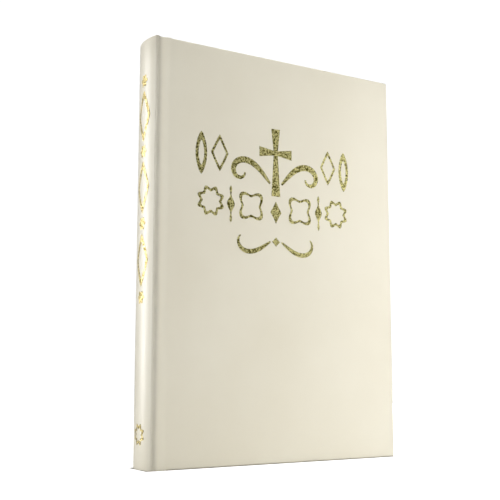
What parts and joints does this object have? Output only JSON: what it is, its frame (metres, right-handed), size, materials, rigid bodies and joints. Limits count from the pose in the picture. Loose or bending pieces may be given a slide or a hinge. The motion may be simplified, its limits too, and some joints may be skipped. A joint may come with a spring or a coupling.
{
  "type": "bible",
  "caption": "Case-bound bible with an ivory leathercloth cover, gold ornament and a sewn block of leaves that fans as its covers swing open.",
  "frame": {"origin": "middle of the closed book's footprint, at the tail edge it stands on", "axes": "+Z from tail to head, -Y out of the front cover, +Y out of the back cover, -X out of the spine, +X out of the fore-edge"},
  "size_m": [0.1471, 0.0201, 0.21],
  "materials": {
    "leathercloth": "satin ivory imitation leather, almost smooth",
    "joint_cloth": "the same imitation leather, pressed into the groove",
    "greyboard": "matte grey binder's board",
    "endpaper": "matte heavy paper",
    "bible_paper": "thin matte paper, cut edges",
    "gauze": "open-weave starched cloth",
    "kraft_paper": "brown lining paper",
    "linen_thread": "waxed linen",
    "band_cloth": "woven corded band",
    "gold_foil": "stamped gold foil with a glittering grain"
  },
  "bodies": {
    "spine": {"front_joint_cloth": "joint_cloth", "back_joint_cloth": "joint_cloth", "spine_skin": "leathercloth", "spine_stiffener": "greyboard", "mull": "gauze", "spine_lining": "kraft_paper", "head_band": "band_cloth", "tail_band": "band_cloth", "sewing_thread_1": "linen_thread", "sewing_thread_2": "linen_thread", "sewing_thread_3": "linen_thread", "sewing_thread_4": "linen_thread", "spine_foil_1": "gold_foil", "spine_foil_2": "gold_foil", "spine_foil_3": "gold_foil", "spine_foil_4": "gold_foil", "spine_foil_5": "gold_foil", "spine_foil_6": "gold_foil", "spine_foil_7": "gold_foil", "spine_foil_foot": "gold_foil"},
    "front_cover": {"front_board": "greyboard", "front_cover_skin": "leathercloth", "front_pastedown": "endpaper", "foil_cross": "gold_foil", "foil_lozenge_middle": "gold_foil", "foil_lozenge_foot": "gold_foil", "foil_vine_left": "gold_foil", "foil_diamond_left": "gold_foil", "foil_leaf_left": "gold_foil", "foil_quatrefoil_left": "gold_foil", "foil_spindle_left": "gold_foil", "foil_rosette_left": "gold_foil", "foil_scroll_left": "gold_foil", "foil_vine_right": "gold_foil", "foil_diamond_right": "gold_foil", "foil_leaf_right": "gold_foil", "foil_quatrefoil_right": "gold_foil", "foil_spindle_right": "gold_foil", "foil_rosette_right": "gold_foil", "foil_scroll_right": "gold_foil"},
    "front_flyleaf": {"front_flyleaf": "endpaper"},
    "front_signature_1": {"front_signature_1": "bible_paper"},
    "front_signature_2": {"front_signature_2": "bible_paper"},
    "front_signature_3": {"front_signature_3": "bible_paper"},
    "front_signature_4": {"front_signature_4": "bible_paper"},
    "front_signature_5": {"front_signature_5": "bible_paper"},
    "front_signature_6": {"front_signature_6": "bible_paper"},
    "back_cover": {"back_board": "greyboard", "back_cover_skin": "leathercloth", "back_pastedown": "endpaper"},
    "back_flyleaf": {"back_flyleaf": "endpaper"},
    "back_signature_1": {"back_signature_1": "bible_paper"},
    "back_signature_2": {"back_signature_2": "bible_paper"},
    "back_signature_3": {"back_signature_3": "bible_paper"},
    "back_signature_4": {"back_signature_4": "bible_paper"},
    "back_signature_5": {"back_signature_5": "bible_paper"},
    "back_signature_6": {"back_signature_6": "bible_paper"}
  },
  "joints": [
    {"name": "front_cover_hinge", "type": "hinge", "parent": "spine", "child": "front_cover", "pos_m": [-0.0684, -0.01015, 0.105], "axis": [0, 0, -1], "range_deg": [0, 180], "deforming": ["front_joint_cloth"]},
    {"name": "front_flyleaf_hinge", "type": "hinge", "parent": "spine", "child": "front_flyleaf", "pos_m": [-0.0684, -0.01015, 0.105], "axis": [0, 0, -1], "range_deg": [0, 174.6]},
    {"name": "front_signature_1_hinge", "type": "hinge", "parent": "spine", "child": "front_signature_1", "pos_m": [-0.0684, -0.01015, 0.105], "axis": [0, 0, -1], "range_deg": [0, 162]},
    {"name": "front_signature_2_hinge", "type": "hinge", "parent": "spine", "child": "front_signature_2", "pos_m": [-0.0684, -0.01015, 0.105], "axis": [0, 0, -1], "range_deg": [0, 135]},
    {"name": "front_signature_3_hinge", "type": "hinge", "parent": "spine", "child": "front_signature_3", "pos_m": [-0.0684, -0.01015, 0.105], "axis": [0, 0, -1], "range_deg": [0, 108]},
    {"name": "front_signature_4_hinge", "type": "hinge", "parent": "spine", "child": "front_signature_4", "pos_m": [-0.0684, -0.01015, 0.105], "axis": [0, 0, -1], "range_deg": [0, 81]},
    {"name": "front_signature_5_hinge", "type": "hinge", "parent": "spine", "child": "front_signature_5", "pos_m": [-0.0684, -0.01015, 0.105], "axis": [0, 0, -1], "range_deg": [0, 54]},
    {"name": "front_signature_6_hinge", "type": "hinge", "parent": "spine", "child": "front_signature_6", "pos_m": [-0.0684, -0.01015, 0.105], "axis": [0, 0, -1], "range_deg": [0, 27]},
    {"name": "back_cover_hinge", "type": "hinge", "parent": "spine", "child": "back_cover", "pos_m": [-0.0684, 0.01015, 0.105], "axis": [0, 0, 1], "range_deg": [0, 180], "deforming": ["back_joint_cloth"]},
    {"name": "back_flyleaf_hinge", "type": "hinge", "parent": "spine", "child": "back_flyleaf", "pos_m": [-0.0684, 0.01015, 0.105], "axis": [0, 0, 1], "range_deg": [0, 174.6]},
    {"name": "back_signature_1_hinge", "type": "hinge", "parent": "spine", "child": "back_signature_1", "pos_m": [-0.0684, 0.01015, 0.105], "axis": [0, 0, 1], "range_deg": [0, 162]},
    {"name": "back_signature_2_hinge", "type": "hinge", "parent": "spine", "child": "back_signature_2", "pos_m": [-0.0684, 0.01015, 0.105], "axis": [0, 0, 1], "range_deg": [0, 135]},
    {"name": "back_signature_3_hinge", "type": "hinge", "parent": "spine", "child": "back_signature_3", "pos_m": [-0.0684, 0.01015, 0.105], "axis": [0, 0, 1], "range_deg": [0, 108]},
    {"name": "back_signature_4_hinge", "type": "hinge", "parent": "spine", "child": "back_signature_4", "pos_m": [-0.0684, 0.01015, 0.105], "axis": [0, 0, 1], "range_deg": [0, 81]},
    {"name": "back_signature_5_hinge", "type": "hinge", "parent": "spine", "child": "back_signature_5", "pos_m": [-0.0684, 0.01015, 0.105], "axis": [0, 0, 1], "range_deg": [0, 54]},
    {"name": "back_signature_6_hinge", "type": "hinge", "parent": "spine", "child": "back_signature_6", "pos_m": [-0.0684, 0.01015, 0.105], "axis": [0, 0, 1], "range_deg": [0, 27]}
  ],
  "couplings": [
    {"joint": "front_flyleaf_hinge", "follows": "front_cover_hinge", "ratio": 0.97},
    {"joint": "front_signature_1_hinge", "follows": "front_cover_hinge", "ratio": 0.9},
    {"joint": "front_signature_2_hinge", "follows": "front_cover_hinge", "ratio": 0.75},
    {"joint": "front_signature_3_hinge", "follows": "front_cover_hinge", "ratio": 0.6},
    {"joint": "front_signature_4_hinge", "follows": "front_cover_hinge", "ratio": 0.45},
    {"joint": "front_signature_5_hinge", "follows": "front_cover_hinge", "ratio": 0.3},
    {"joint": "front_signature_6_hinge", "follows": "front_cover_hinge", "ratio": 0.15},
    {"joint": "back_flyleaf_hinge", "follows": "back_cover_hinge", "ratio": 0.97},
    {"joint": "back_signature_1_hinge", "follows": "back_cover_hinge", "ratio": 0.9},
    {"joint": "back_signature_2_hinge", "follows": "back_cover_hinge", "ratio": 0.75},
    {"joint": "back_signature_3_hinge", "follows": "back_cover_hinge", "ratio": 0.6},
    {"joint": "back_signature_4_hinge", "follows": "back_cover_hinge", "ratio": 0.45},
    {"joint": "back_signature_5_hinge", "follows": "back_cover_hinge", "ratio": 0.3},
    {"joint": "back_signature_6_hinge", "follows": "back_cover_hinge", "ratio": 0.15}
  ]
}
